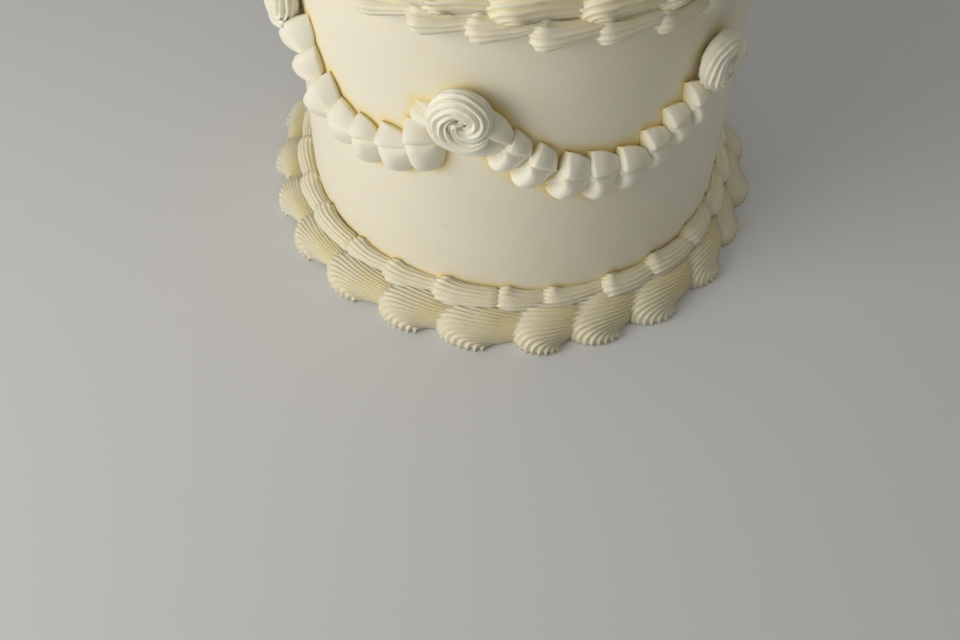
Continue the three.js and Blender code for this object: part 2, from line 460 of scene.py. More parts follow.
def ribbed_angle(round_share, inputs, ribs):
    """Angle round a stroke in radians, and how deep in a valley between ribs it lies."""
    shown_share = COLUMNS_PER_RIB * ribs / (COLUMNS_PER_RIB * ribs + HIDDEN_COLUMNS)
    shown = (round_share / shown_share).at_most(1.0)
    hidden = ((round_share - shown_share) / (1.0 - shown_share)).at_least(0.0)
    arc = inputs["Last Angle"] - inputs["First Angle"]
    degrees = inputs["First Angle"] + arc * shown + (360.0 - arc) * hidden
    valley = (shown * (ribs * math.pi)).cos().abs() ** VALLEY_ROUNDNESS
    return degrees * (math.pi / 180), valley


def ribbed_stroke(net, inputs, rows, ribs):
    """One squeeze of a star tip, in millimetres, laid along X beside the wall."""
    columns = COLUMNS_PER_RIB * ribs + HIDDEN_COLUMNS + 1
    grid, row_share, round_share = rolled_grid(net, rows, columns)
    along = row_share ** HEAD_CROWDING
    back = 1.0 - along

    def bezier(axis):
        """Where the middle of the stroke lies on one axis."""
        weights = (back * back * back, 3.0 * back * back * along, 3.0 * back * along * along)
        root, rise, run = (inputs[f"{part} {axis}"] for part in ("Root", "Rise", "Run"))
        tail = inputs[f"Tail {axis}"] * along * along * along
        return root * weights[0] + rise * weights[1] + run * weights[2] + tail

    def heading(axis):
        """How fast the middle of the stroke moves on one axis."""
        root, rise, run = (inputs[f"{part} {axis}"] for part in ("Root", "Rise", "Run"))
        first = (rise - root) * back * back
        second = (run - rise) * back * along * 2.0
        return first + second + (inputs[f"Tail {axis}"] - run) * along * along

    centre = net.vector(bezier("X"), bezier("Y"), bezier("Z"))
    forward = net.vector_math("NORMALIZE", net.vector(heading("X"), heading("Y"), heading("Z")))
    slanted = (0.0, SLANT, -SLANT)
    across = net.vector_math("NORMALIZE", net.vector_math("CROSS_PRODUCT", forward, slanted))
    downward = net.vector_math("CROSS_PRODUCT", across, forward)

    # The stroke swells over its head and thins along its tail.
    angle, valley = ribbed_angle(round_share, inputs, ribs)
    swelling = (along / HEAD_SHARE).at_most(1.0)
    fading = ((along - HEAD_SHARE) / (1.0 - HEAD_SHARE)).clamped()
    swollen = START_FULLNESS + (1.0 - START_FULLNESS) * swelling
    fullness = swollen * (1.0 - fading ** inputs["Taper"])
    radius = inputs["Tail Radius"] + (inputs["Head Radius"] - inputs["Tail Radius"]) * fullness
    rib = inputs["Rib Depth"] * (0.5 + 0.5 * radius / inputs["Head Radius"])
    rib = rib * (inputs["Head Rib"] + along / inputs["Rib Start"]).at_most(1.0)
    cap = (1.0 - (1.0 - along / inputs["Cap"]).at_least(0.0) ** 2.0).sqrt()
    closing = cap * ((1.0 - row_share) * (rows * 0.5)).at_most(1.0)
    reach = (radius - rib * valley) * closing
    sideways = net.scaled(across, reach * angle.cos())
    ring = net.vector_math("ADD", sideways, net.scaled(downward, reach * angle.sin()))
    x, y, z = net.parts(net.vector_math("ADD", centre, ring))

    # What it lies on holds it up, a little higher where it reaches past the wall.
    level = inputs["Local Floor"] + inputs["Brim"] * (y / BRIM_REACH).clamped()
    z = z.at_least(level)
    # Painted warm shade: under the stroke, against the wall, in the rib valleys and along the tail
    # that sinks under the next head.
    underside = (1.0 - (z - level) / UNDERSIDE_REACH).clamped()
    against_wall = (1.0 - y / inputs["Glow Reach"]).clamped()
    groove = valley * VALLEY_PAINTED_SHADE + fading * TAIL_PAINTED_SHADE
    groove = groove + against_wall * inputs["Glow"] + underside * UNDERSIDE_PAINTED_SHADE
    stroke = with_attribute(net, grid, "groove", groove)
    return merged(net, moved(net, stroke, net.vector(x, y, z)), WELD)


def stroke_tree(name, material, shape, rows, ribs, sizes, grains):
    """A tree for a run of ribbed strokes. A grain is a size of unevenness and its push."""
    net, inputs = new_shape_tree(name, sizes)
    stroke = shape(net, inputs, rows, ribs)
    strokes = copied_to_points(net, inputs["Geometry"], stroke)
    for grain, push in grains:
        strokes = wobbled(net, strokes, grain, push, inputs["Seed"])
    x, y, z = net.parts(net.add("GeometryNodeInputPosition"))
    strokes = moved(net, strokes, net.vector(x, y, z.at_least(inputs["Floor"])))
    return finish_shape_tree(net, wrapped_round_cake(net, strokes), material)


def stroke_at(azimuth, height, length_share, girth, turn=(0.0, 0.0, 0.0)):
    """One stroke of a straight run: where its head starts, its turn and its size."""
    along = math.radians(azimuth) * CAKE_RADIUS
    return {
        "place": (along, 0.0, height),
        "turn": [math.radians(angle) for angle in turn],
        "swell": (length_share, girth, girth),
    }


# %% [markdown]
# The big shells at the foot lean on the side of the cake and sit on whatever the cake
# stands on. The tip starts against the ground, so the ribs fan out from under the head
# and end in a row of teeth on the ground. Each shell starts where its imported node
# starts and is longer where that node is longer, with a little chance in its girth
# and its turn.

# %% Shells round the foot
FOOT_PITCH = 22.0
FOOT_LEVEL = -0.4
FOOT_ROWS = 35
FOOT_RIBS = 17
TAIL_FIRST_ANGLE = -60.0
TAIL_ARC = 150.0
BASE_STRETCH = 1.05
SHOULDER_STRETCH = 1.1
LOWEST_SHOULDER = 0.12
TOOTH_FADE = 0.7
RUN_SETBACK = 3.0
SUNKEN_FROM = 0.55
FULLER_SHELLS = [(20.0, 34.0, 0.06), (85.0, 26.0, -0.15), (-75.0, 30.0, -0.06)]


def fullness_at(azimuth):
    """The shells are fuller in front than at the sides: (azimuth, spread, gain) bumps."""
    fullness = 1.0
    for middle, spread, gain in FULLER_SHELLS:
        fullness += gain * math.exp(-(((azimuth - middle) / spread) ** 2))
    return fullness


def shell_strokes(prefix, height, pitch, seed, lean):
    """One stroke for each packed shell, longer where its node is longer."""
    dice = random.Random(seed)
    strokes = []
    for name in nodes_named(prefix):
        start, end = node_span(name)
        length = math.radians(end - start) * CAKE_RADIUS
        girth = dice.uniform(0.95, 1.03) * fullness_at(start)
        turn = [dice.uniform(-angle, angle) for angle in lean]
        strokes.append(stroke_at(start, height, 0.4 + 0.6 * length / pitch, girth, turn))
    return strokes


def fanned_shell(net, inputs, rows, ribs):
    """A shell whose ribs start as teeth on the ground and run over a fan into a tail."""
    columns = COLUMNS_PER_RIB * ribs + HIDDEN_COLUMNS + 1
    grid, row_share, round_share = rolled_grid(net, rows, columns)
    angle, valley = ribbed_angle(round_share, inputs, ribs)
    turned = (angle * (180 / math.pi) - inputs["First Angle"]) / 360.0
    shown = (turned * 360.0 / (inputs["Last Angle"] - inputs["First Angle"])).at_most(1.0)
    unseen = (turned * 360.0 - inputs["Last Angle"] + inputs["First Angle"]).at_least(0.0)
    unseen = unseen / (360.0 - inputs["Last Angle"] + inputs["First Angle"])
    tail_turn = TAIL_FIRST_ANGLE + TAIL_ARC * shown + (360.0 - TAIL_ARC) * unseen
    tail_angle = tail_turn * (math.pi / 180)

    row = row_share * (rows - 1.0)
    along = ((row - 1.0) / (rows - 3.0)).clamped()
    back = 1.0 - along
    weights = [back * back * back, back * back * along * 3.0]
    weights += [back * along * along * 3.0, along * along * along]

    # The outline starts as teeth on the ground and rises to a shoulder over them.
    climb = 0.5 + 0.5 * angle.cos()
    tooth = inputs["Tooth Depth"] * (1.0 - TOOTH_FADE * climb * climb)
    foot = inputs["Base Radius"] - tooth * valley
    base_x = inputs["Base X"] - foot * angle.cos() * BASE_STRETCH
    base_y = inputs["Base Y"] + foot * angle.sin()
    shoulder = inputs["Base Radius"] - inputs["Rib Depth"] * valley
    shoulder_x = inputs["Base X"] - shoulder * angle.cos() * SHOULDER_STRETCH
    shoulder_x = shoulder_x - inputs["Shoulder Lean"] * climb
    shoulder_y = inputs["Base Y"] + shoulder * angle.sin()
    rise_share = LOWEST_SHOULDER + (1.0 - LOWEST_SHOULDER) * climb
    shoulder_z = inputs["Shoulder Rise"] * rise_share * (1.0 - 0.1 * valley)

    def ring(part):
        """Place of a point round the run or the tail, tilted down from the wall."""
        radius = inputs[f"{part} Radius"] - inputs["Rib Depth"] * valley
        outward = SLANT * (tail_angle.cos() + tail_angle.sin())
        upward = SLANT * (tail_angle.cos() - tail_angle.sin())
        return radius * outward + inputs[f"{part} Y"], radius * upward + inputs[f"{part} Z"]

    run_y, run_z = ring("Run")
    tail_y, tail_z = ring("Tail")
    run_x = inputs["Run X"] - RUN_SETBACK * climb
    x = base_x * weights[0] + shoulder_x * weights[1] + run_x * weights[2]
    x = x + inputs["Tail X"] * weights[3]
    y = base_y * weights[0] + shoulder_y * weights[1] + run_y * weights[2] + tail_y * weights[3]
    z = shoulder_z * weights[1] + run_z * weights[2] + tail_z * weights[3]

    # The first row and the last one shrink to a point each, which closes the shell.
    opening = row.at_most(1.0)
    x = inputs["Base X"] + (x - inputs["Base X"]) * opening
    y = inputs["Base Y"] + (y - inputs["Base Y"]) * opening
    closing = (rows - 1.0 - row).at_most(1.0)
    y = inputs["Tail Y"] + (y - inputs["Tail Y"]) * closing
    z = inputs["Tail Z"] * (1.0 - closing) + z * closing
    z = z.at_least(0.0)
    # Painted warm shade against the wall, in the rib valleys and on the sunken tail under the next
    # shell.
    against_wall = (1.0 - y / inputs["Glow Reach"]).clamped()
    sunken = ((along - SUNKEN_FROM) / 0.2).clamped()
    groove = valley * 0.5 + sunken * 0.9 + against_wall * 0.6
    shell = with_attribute(net, grid, "groove", groove)
    return merged(net, moved(net, shell, net.vector(x, y, z)), WELD)


FOOT_SIZES = {
    "Base X": 12.0, "Base Y": 7.4, "Base Radius": 11.2,
    "Shoulder Lean": 2.0, "Shoulder Rise": 14.5,
    "Run X": 19.0, "Run Y": 6.2, "Run Z": 4.2, "Run Radius": 8.6,
    "Tail X": 32.0, "Tail Y": 4.8, "Tail Z": 3.2, "Tail Radius": 6.2,
    "First Angle": -70.0, "Last Angle": 120.0, "Rib Depth": 0.95, "Tooth Depth": 1.7,
    "Glow Reach": 4.0, "Floor": 0.0, "Seed": 4.0,
}
FOOT_GRAINS = [(9.0, 0.5), (2.4, 0.14)]
foot_shape = (fanned_shell, FOOT_ROWS, FOOT_RIBS, FOOT_SIZES, FOOT_GRAINS)
foot_tree = stroke_tree("foot_strokes", foot_cream, *foot_shape)
foot_strokes = shell_strokes("foot_shell", FOOT_LEVEL, FOOT_PITCH, 21, (0, 0, 4))
foot_run = run_of_points("foot_run", foot_strokes)
foot_shells = piece_from_tree("foot_shells", foot_tree, foot_run, FOOT_SIZES)

# %% [markdown]
# The big shells on the rim are laid on the flat top with the plain squeeze. Each head
# wells up out of the cream that it stands on. The shells reach a little over the edge,
# where they rest on the small border, and both their sides show.

# %% Shells on the rim
RIM_PITCH = 22.8
RIM_ROWS = 36
RIM_RIBS = 15
RIM_SIZES = {
    "Root X": 9.0, "Root Y": -1.5, "Root Z": -4.0,
    "Rise X": 1.5, "Rise Y": 0.5, "Rise Z": 9.4,
    "Run X": 15.5, "Run Y": -0.6, "Run Z": 7.2,
    "Tail X": 34.5, "Tail Y": -0.8, "Tail Z": 5.0,
    "Head Radius": 9.0, "Tail Radius": 6.4, "Taper": 1.0, "Cap": 0.3,
    "First Angle": -160.0, "Last Angle": 115.0, "Rib Depth": 1.5,
    "Head Rib": 0.0, "Rib Start": 0.6,
    "Local Floor": -3.6, "Brim": 3.0,
    "Glow Reach": 0.01, "Glow": 0.6, "Floor": 0.0, "Seed": 9.0,
}
rim_shape = (ribbed_stroke, RIM_ROWS, RIM_RIBS, RIM_SIZES, FOOT_GRAINS)
rim_tree = stroke_tree("rim_strokes", rim_cream, *rim_shape)
rim_strokes = shell_strokes("rim_shell", CAKE_HEIGHT, RIM_PITCH, 22, (2, 2, 5))
rim_run = run_of_points("rim_run", rim_strokes)
rim_shells = piece_from_tree("rim_shells", rim_tree, rim_run, RIM_SIZES)

# %% [markdown]
# The finer borders are long drawn-out shells from a smaller star tip, pressed against
# the side of the cake. They hide the joint between the side and the big shells. Each
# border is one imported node, so the number of its strokes and their start are set here.


# %% Small borders
def small_strokes(count, first_azimuth, height, seed):
    """Evenly spaced strokes round the cake, each a little off in place, turn and size."""
    dice = random.Random(seed)
    step = 360 / count
    strokes = []
    for index in range(count):
        azimuth = first_azimuth + step * (index + dice.uniform(-0.1, 0.1))
        turn = [dice.uniform(-4.0, 4.0) for _ in range(3)]
        length = dice.uniform(0.95, 1.06)
        level = height + dice.uniform(-0.6, 0.6)
        strokes.append(stroke_at(azimuth, level, length, dice.uniform(0.93, 1.06), turn))
    return strokes


LOWER_COUNT = 26
LOWER_FIRST_AZIMUTH = 7.0
LOWER_HEIGHT = 10.3
LOWER_ROWS = 28
LOWER_RIBS = 10
LOWER_SIZES = {
    "Root X": 5.6, "Root Y": 0.0, "Root Z": -0.5,
    "Rise X": 0.6, "Rise Y": 4.2, "Rise Z": 0.8,
    "Run X": 9.0, "Run Y": 2.9, "Run Z": -0.4,
    "Tail X": 26.0, "Tail Y": 1.1, "Tail Z": -0.6,
    "Head Radius": 6.0, "Tail Radius": 4.0, "Taper": 0.42, "Cap": 0.3,
    "First Angle": -90.0, "Last Angle": 125.0, "Rib Depth": 0.9,
    "Head Rib": 0.2, "Rib Start": 0.38,
    "Local Floor": -50.0, "Brim": 0.0,
    "Glow Reach": 2.5, "Glow": 0.6, "Floor": 0.0, "Seed": 12.0,
}
SMALL_GRAINS = [(7.0, 0.45), (2.0, 0.12)]
lower_shape = (ribbed_stroke, LOWER_ROWS, LOWER_RIBS, LOWER_SIZES, SMALL_GRAINS)
lower_tree = stroke_tree("lower_strokes", small_cream, *lower_shape)
lower_strokes = small_strokes(LOWER_COUNT, LOWER_FIRST_AZIMUTH, LOWER_HEIGHT, 23)
lower_run = run_of_points("lower_run", lower_strokes)
lower_border = piece_from_tree("lower_border", lower_tree, lower_run, LOWER_SIZES)

UPPER_COUNT = 30
UPPER_FIRST_AZIMUTH = 1.7
UPPER_HEIGHT = 129.9
UPPER_ROWS = 26
UPPER_RIBS = 8
UPPER_SIZES = {
    "Root X": 4.2, "Root Y": 0.8, "Root Z": 0.5,
    "Rise X": 0.0, "Rise Y": 5.6, "Rise Z": -0.8,
    "Run X": 7.0, "Run Y": 3.2, "Run Z": 0.0,
    "Tail X": 23.0, "Tail Y": 2.0, "Tail Z": 3.0,
    "Head Radius": 6.3, "Tail Radius": 3.0, "Taper": 0.42, "Cap": 0.3,
    "First Angle": -80.0, "Last Angle": 150.0, "Rib Depth": 0.9,
    "Head Rib": 0.2, "Rib Start": 0.38,
    "Local Floor": -50.0, "Brim": 0.0,
    "Glow Reach": 4.5, "Glow": 1.2, "Floor": 0.0, "Seed": 15.0,
}
upper_shape = (ribbed_stroke, UPPER_ROWS, UPPER_RIBS, UPPER_SIZES, SMALL_GRAINS)
upper_tree = stroke_tree("upper_strokes", small_cream, *upper_shape)
upper_strokes = small_strokes(UPPER_COUNT, UPPER_FIRST_AZIMUTH, UPPER_HEIGHT, 24)
upper_run = run_of_points("upper_run", upper_strokes)
upper_border = piece_from_tree("upper_border", upper_tree, upper_run, UPPER_SIZES)

# %% [markdown]
# The swags are piped with a leaf tip, which has no teeth: its V-shaped mouth lays two
# smooth lobes side by side with a seam between them. Each squeeze starts with a blunt,
# steep end, pointed at both corners, and sinks under the next one. The petals follow a
# hanging curve between two rosettes, each turned to the slope of the curve.

# %% Petals of the swags
PETAL_SIZES = {
    "Upper Width": 9.2,
    "Lower Width": 9.8,
    "Depth": 8.0,
    "Length": 15.0,
    "Nose": 1.4,
    "Seam Height": 2.4,
    "Seam": 0.35,
    "Lip": 0.4,
    "Lower Tip": 2.2,
    "Lean": 0.5,
    "Seed": 5.0,
}
PETAL_GRAIN = 7.0
PETAL_PUSH = 0.55
PETAL_ROWS = 34
PETAL_COLUMNS = 78
MOUTH_ROWS = 6
SHOWN_SHARE = 0.82
NARROW_NOSE = 0.88
UPPER_TAIL = 0.1
UPPER_END = 0.7
LOWER_BEND = (0.28, 0.44)
FALL_FROM = 0.1
FALL_DEPTH = 0.97
SUNK_BEHIND = 0.6
SWAG_LOW = 70.0
END_DROP = 3.0
SWAG_PETALS = (8, 9, 9, 8)
LAST_LIFTS = (12.0, 0.0, 4.0, 8.0)
FIRST_PETAL = 0.04
LAST_PETAL = 0.88
CURVE_STEPS = 200
FALLING_TURN = 0.8
CLIMBING_TURN = 0.25


def petal(net, inputs, rows, columns):
    """One squeeze of a leaf tip: along X, spread over Z and standing out along Y."""
    grid, row_share, round_share = rolled_grid(net, rows, columns)
    spread = ((round_share / SHOWN_SHARE).at_most(1.0) * 2.0 - 1.0).at_most(1.0)
    behind = ((round_share - SHOWN_SHARE) / (1.0 - SHOWN_SHARE)).at_least(0.0)
    over = spread.at_least(0.0)
    under = (spread * -1.0).at_least(0.0)

    # The first rows round off the blunt nose, the others run to the tail.
    row = row_share * (rows - 1.0)
    mouth = (row / MOUTH_ROWS).at_most(1.0) * (math.pi / 2)
    rounding, setback = mouth.sin(), 1.0 - mouth.cos()
    along = ((row - MOUTH_ROWS) / (rows - MOUTH_ROWS - 2.0)).clamped()

    # Seen from the front, the upper edge is a quarter of an ellipse, and the lower one
    # is rounded at both ends.
    bow = (along / UPPER_END).at_most(0.995)
    upper_share = UPPER_TAIL + (1.0 - UPPER_TAIL) * (1.0 - bow * bow).sqrt()
    upper = inputs["Upper Width"] * upper_share
    upper = upper * (NARROW_NOSE + (1.0 - NARROW_NOSE) * rounding)
    bend_from, bend_length = LOWER_BEND
    bend = ((along - bend_from) / bend_length).at_most(0.99)
    roundness = (1.0 - bend * bend).sqrt()
    lower = inputs["Lower Width"] * roundness
    seam = inputs["Seam Height"]
    height = seam + (upper - seam) * over - (lower + seam) * under

    # It stands out most at the nose, with a seam between its two lobes.
    fall = ((along - FALL_FROM) / (1.0 - FALL_FROM)).at_least(0.0)
    depth = inputs["Depth"] * (1.0 - FALL_DEPTH * fall ** 1.5)
    notch = inputs["Seam"] * (spread.abs() * -7.0).math("EXPONENT")
    lip = inputs["Lip"] * (0.5 + 0.9 * along)
    upper_lobe = 1.0 - (1.0 - lip) * over ** 1.8
    lower_lobe = (1.0 - under ** 2.4).sqrt()
    lobe = upper_lobe * lower_lobe - notch
    slimmer = 1.0 - (1.0 - roundness) * 0.75 * (under * 3.0).at_most(1.0)
    start = (1.0 - along * inputs["Length"] / (0.2 + 3.0 * under)).at_least(0.0)
    rising = (1.0 - start * start).sqrt()
    proud = depth * lobe * slimmer * (1.0 - under.at_most(0.9) * (1.0 - rising))

    # The hidden back runs inside the cake, from the upper edge down to the lower one.
    back = (behind * 3.0).at_most(1.0)
    returned = ((behind - 1 / 3) * 1.5).at_least(0.0)
    proud = proud * (1.0 - back) - SUNK_BEHIND * back * (1.0 - returned)
    height = height - 2.0 * back * (1.0 - returned)
    height = height - (upper + lower - 2.0) * returned
    proud = proud * rounding - 0.3 * (1.0 - rounding)
    closing = (rows - 1.0 - row).at_most(1.0)
    proud = proud * closing

    left = inputs["Lean"] * over - inputs["Lower Tip"] * under ** 2.2
    nose = inputs["Nose"]
    x = left * (1.0 - along) ** 1.4 + nose * setback + (inputs["Length"] - nose) * along
    # Painted warm shade against the wall, along the seam crease and where the petal sinks under the
    # next one.
    against_wall = (1.0 - proud / 3.0).clamped()
    crease = (spread.abs() * -30.0).math("EXPONENT")
    groove = against_wall * 0.8 + crease * 0.35 + fall * 0.15
    stroke = with_attribute(net, grid, "groove", groove)
    return merged(net, moved(net, stroke, net.vector(x, proud, height)), WELD)


def swag_tree(material):
    """Petals copied to the points of the swags, made uneven and wrapped round the cake."""
    net, inputs = new_shape_tree("swag_petals", PETAL_SIZES)
    petals = copied_to_points(net, inputs["Geometry"], petal(net, inputs, PETAL_ROWS, PETAL_COLUMNS))
    petals = wobbled(net, petals, PETAL_GRAIN, PETAL_PUSH, inputs["Seed"])
    return finish_shape_tree(net, wrapped_round_cake(net, petals), material)


def node_centre(name):
    """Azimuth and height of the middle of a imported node."""
    points = node_points(name)
    start, end = node_span(name)
    heights = [point.z for point in points]
    return (start + end) / 2, (min(heights) + max(heights)) / 2


def nearest_rosette(azimuth):
    """Middle of the rosette that lies nearest to an azimuth."""
    centres = [node_centre(name) for name in nodes_named("rosette")]
    return min(centres, key=lambda centre: abs((centre[0] - azimuth + 180) % 360 - 180))


def swag_height(share, start_height, end_height):
    """Height of the hanging curve between two rosettes, lowest halfway."""
    ends = start_height + (end_height - start_height) * share - END_DROP
    return SWAG_LOW + (ends - SWAG_LOW) * (2 * share - 1) ** 2


def petal_shares(count, start_height, end_height, sweep):
    """Shares of the sweep where the petals start, evenly spaced along the hanging curve."""
    step = (LAST_PETAL - FIRST_PETAL) / CURVE_STEPS
    shares = [FIRST_PETAL + step * number for number in range(CURVE_STEPS + 1)]
    heights = [swag_height(share, start_height, end_height) for share in shares]
    sideways = math.radians(sweep * step) * CAKE_RADIUS
    travelled = [0.0]
    for before, after in zip(heights, heights[1:]):
        travelled.append(travelled[-1] + math.hypot(sideways, after - before))
    chosen = []
    for number in range(count):
        goal = travelled[-1] * number / (count - 1) - 0.001
        chosen.append(next(share for share, length in zip(shares, travelled) if length >= goal))
    return chosen


def petal_strokes(seed):
    """The petals of every swag, turned to the slope and larger where there are fewer."""
    dice = random.Random(seed)
    strokes = []
    for name, count, lift in zip(nodes_named("swag"), SWAG_PETALS, LAST_LIFTS):
        first, last = node_span(name)
        azimuth, height = nearest_rosette(first)
        next_azimuth, next_height = nearest_rosette(last)
        sweep = (next_azimuth - azimuth) % 360
        for number, share in enumerate(petal_shares(count, height, next_height, sweep)):
            share += dice.uniform(-0.006, 0.006)
            level = swag_height(share, height, next_height)
            level += lift if number == count - 1 else 0.0
            rise = swag_height(share + 0.02, height, next_height) - level
            slope = math.degrees(math.atan2(rise, math.radians(0.02 * sweep) * CAKE_RADIUS))
            follow = FALLING_TURN if slope < 0 else CLIMBING_TURN
            lean = dice.uniform(-6, 6) - slope * follow
            turn = (dice.uniform(-6, 6), lean, dice.uniform(-6, 6))
            girth = dice.uniform(0.94, 1.2) * (9 / count) ** 0.4
            length = girth * dice.uniform(0.92, 1.1) * (0.75 if number == count - 1 else 1.0)
            strokes.append(stroke_at(azimuth + sweep * share, level, length, girth, turn))
    return strokes


petal_run = run_of_points("petal_run", petal_strokes(25))
swags = piece_from_tree("swags", swag_tree(swag_cream), petal_run, PETAL_SIZES)

# %% [markdown]
# A rosette is one ribbed rope from a star tip, wound once and a half on the side of
# the cake. It starts near the middle, opens into a coil and ends in a point. The ribs
# drift outwards as the rope turns, which makes the swirl.

# %% Rosettes
ROSETTE_SIZES = {
    "Turns": 1.5,
    "Start Angle": -197.0,
    "Rope Radius": 4.7,
    "Rib Depth": 1.45,
    "Drift": 150.0,
    "Seed": 8.0,
}
ROSETTE_RIBS = 13
ROSETTE_ROWS = 120
ROSETTE_VALLEY_ROUNDNESS = 1.3
ROSETTE_DROP = 0.6
ROSETTE_GRAINS = [(6.0, 0.7), (2.0, 0.1)]
HEART_RADIUS = 0.3
HEART_RISE = 0.6
COIL_RADIUS = 4.8
COIL_OPEN = 0.38
COIL_STAND = 5.6
TAIL_FROM = 0.6
TAIL_REACH = 3.9
TAIL_RISE = 1.8
POINT_FROM = 0.8
TALLNESS = 1.08


def rosette_rope(net, inputs, rows):
    """A ribbed rope wound round once and a half, out of the wall along Y."""
    columns = COLUMNS_PER_RIB * ROSETTE_RIBS + 1
    grid, along, round_share = rolled_grid(net, rows, columns)
    # The middle of the rope opens into a coil and leaves it again at the end.
    wind = inputs["Start Angle"] * (math.pi / 180) + along * inputs["Turns"] * (2 * math.pi)
    opening = (along / COIL_OPEN).at_most(1.0)
    leaving = ((along - TAIL_FROM) / (1.0 - TAIL_FROM)).clamped()
    coil = COIL_RADIUS * opening * opening * (3.0 - 2.0 * opening)
    path = HEART_RADIUS + coil + TAIL_REACH * leaving ** 1.5
    taper = ((along - POINT_FROM) / (1.0 - POINT_FROM)).clamped()
    thinned = 1.0 - 0.3 * taper - 0.7 * taper ** 4.0
    rope = inputs["Rope Radius"] * (0.8 + 0.2 * opening) * thinned
    cap = (1.0 - (1.0 - along / 0.06).at_least(0.0) ** 2.0).sqrt()

    # The ribs turn round the rope as it goes.
    turned = round_share * (2 * math.pi)
    valley = (turned * (ROSETTE_RIBS / 2)).cos().abs() ** ROSETTE_VALLEY_ROUNDNESS
    angle = turned - inputs["Drift"] * (math.pi / 180) * along
    rib = inputs["Rib Depth"] * (0.3 + 0.7 * rope / inputs["Rope Radius"]) * (0.5 + 0.5 * opening)
    reach = (rope - rib * valley) * cap
    outward = path + reach * angle.cos()
    heart = (1.0 - opening) * HEART_RISE
    proud = COIL_STAND + heart + TAIL_RISE * leaving + reach * angle.sin()
    # Painted warm shade against the wall and in the valleys between the ribs.
    against_wall = (1.0 - proud / 4.0).clamped()
    rope = with_attribute(net, grid, "groove", valley * 0.35 + against_wall * 0.7)
    place = net.vector(outward * wind.cos(), proud, outward * wind.sin() * TALLNESS)
    return merged(net, moved(net, rope, place), WELD)


def rosette_tree(material):
    """Ropes copied to the places of the rosettes, with coarse and fine unevenness."""
    net, inputs = new_shape_tree("rosette_ropes", ROSETTE_SIZES)
    ropes = copied_to_points(net, inputs["Geometry"], rosette_rope(net, inputs, ROSETTE_ROWS))
    for grain, push in ROSETTE_GRAINS:
        ropes = wobbled(net, ropes, grain, push, inputs["Seed"])
    return finish_shape_tree(net, wrapped_round_cake(net, ropes), material)


def rosette_strokes(seed):
    """A rosette on each packed one. Only the front one isn't left to chance."""
    dice = random.Random(seed)
    strokes = []
    for index, name in enumerate(nodes_named("rosette")):
        azimuth, height = node_centre(name)
        height -= ROSETTE_DROP
        spin = 0.0 if index == 0 else dice.uniform(-40, 40)
        girth = 1.0 if index == 0 else dice.uniform(0.88, 1.0)
        strokes.append(stroke_at(azimuth, height, girth, girth, (0.0, spin, 0.0)))
    return strokes


rosette_run = run_of_points("rosette_run", rosette_strokes(26))
rosettes = piece_from_tree("rosettes", rosette_tree(rosette_cream), rosette_run, ROSETTE_SIZES)

# %% [markdown]
# The covered cake is a drum smoothed with a spatula and a scraper. A grid rolled into a
# drum is enough: its side swells and dips by a fraction of a millimetre. It comes last,
# because light that bounces between it and the piping makes a warm line along each
# joint, and the tree paints that line as warm shade by how near every point of the drum is to the
# piping.

# %% Smooth body
BODY_COLUMNS = 384
SIDE_ROWS = 120
EDGE_ROWS = 10
TOP_ROWS = 34
EDGE_ROUND = 2.6
FOOT_ROUND = 0.8
SWELL_SCALE = 22.0
SWELL_SQUASH = 2.2


def body_profile():
    """Distance from the axis and height, from the middle of the underside to the top."""
    profile = [(CAKE_RADIUS * row / 8, 0.0) for row in range(8)]
    profile += [(CAKE_RADIUS - FOOT_ROUND, 0.0), (CAKE_RADIUS - 0.3, 0.3)]
    side = CAKE_HEIGHT - EDGE_ROUND - FOOT_ROUND
    profile += [(CAKE_RADIUS, FOOT_ROUND + side * row / SIDE_ROWS) for row in range(SIDE_ROWS)]
    for row in range(EDGE_ROWS + 1):
        turn = math.radians(90 * row / EDGE_ROWS)
        inset = EDGE_ROUND * (1 - math.cos(turn))
        profile.append((CAKE_RADIUS - inset, CAKE_HEIGHT - EDGE_ROUND * (1 - math.sin(turn))))
    flat = CAKE_RADIUS - EDGE_ROUND
    profile += [(flat * (1 - row / TOP_ROWS), CAKE_HEIGHT) for row in range(1, TOP_ROWS + 1)]
    return profile


def drum_mesh(name, profile, columns):
    """A closed drum from a profile that starts and ends on the axis."""
    vertices = [(0.0, 0.0, profile[0][1] * MM)]
    for radius, height in profile[1:-1]:
        for column in range(columns):
            angle = 2 * math.pi * column / columns
            x = radius * math.sin(angle) * MM
            y = -radius * math.cos(angle) * MM
            vertices.append((x, y, height * MM))
    vertices.append((0.0, 0.0, profile[-1][1] * MM))
    top = len(vertices) - 1
    faces = []
    rings = len(profile) - 2
    for column in range(columns):
        beside = (column + 1) % columns
        faces.append((0, 1 + beside, 1 + column))
        for ring in range(rings - 1):
            here = 1 + ring * columns
            above = here + columns
            faces.append((here + column, here + beside, above + beside, above + column))
        last = 1 + (rings - 1) * columns
        faces.append((last + column, last + beside, top))
    mesh = bpy.data.meshes.new(name)
    mesh.from_pydata(vertices, [], faces)
    mesh.validate()
    return mesh


def nearness(net, pieces, reach):
    """How near a point is to any of the pieces: 1 on them, 0 from the reach on."""
    join = net.tree.nodes.new("GeometryNodeJoinGeometry")
    for piece in pieces:
        settings = {"transform_space": "RELATIVE"}
        shape = net.add("GeometryNodeObjectInfo", settings, {"Object": piece}, "Geometry")
        net.tree.links.new(shape.socket, join.inputs[0])
    settings = {"target_element": "FACES"}
    target = {0: Value(net, join.outputs[0])}
    distance = net.add("GeometryNodeProximity", settings, target, "Distance")
    return (1.0 - distance / (reach * MM)).clamped()


# The reaches are how far the painted warm shade spreads from the borders and from the swags.
BODY_SIZES = {"Swell": 0.35, "Seed": 3.0, "Border Reach": 2.2, "Swag Reach": 4.6}


